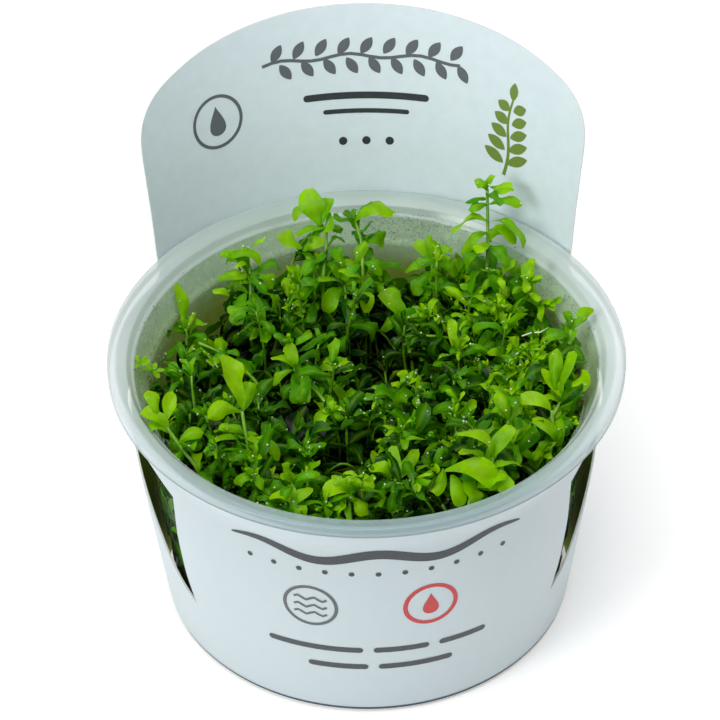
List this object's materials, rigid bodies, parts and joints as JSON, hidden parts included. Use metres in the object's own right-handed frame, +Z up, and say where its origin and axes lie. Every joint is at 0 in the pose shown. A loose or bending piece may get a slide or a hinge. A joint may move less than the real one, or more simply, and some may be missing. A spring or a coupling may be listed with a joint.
{
  "type": "pearlweed in culture cup",
  "caption": "Aquarium stem plant with small paired leaves, growing dense on gel in a clear open cup with a windowed card sleeve and arched header.",
  "frame": {"origin": "centre of the cup's flat underside", "axes": "+Z up along the cup's axis, -Y towards the front of the sleeve, +Y towards the header"},
  "size_m": [0.1, 0.109, 0.0982],
  "materials": {
    "clear_plastic": "clear, lightly frosted by condensation inside",
    "white_card": "satin coated",
    "culture_gel": "wet translucent gel",
    "pearlweed": "glossy living leaf"
  },
  "bodies": {
    "root": {"cup": "clear_plastic", "label_sleeve": "white_card", "culture_gel": "culture_gel", "clump_01": "pearlweed", "clump_02": "pearlweed", "clump_03": "pearlweed", "clump_04": "pearlweed", "clump_05": "pearlweed", "clump_06": "pearlweed", "clump_07": "pearlweed", "clump_08": "pearlweed", "clump_09": "pearlweed", "clump_10": "pearlweed", "clump_11": "pearlweed", "clump_12": "pearlweed", "clump_13": "pearlweed", "clump_14": "pearlweed", "clump_15": "pearlweed"}
  },
  "joints": []
}
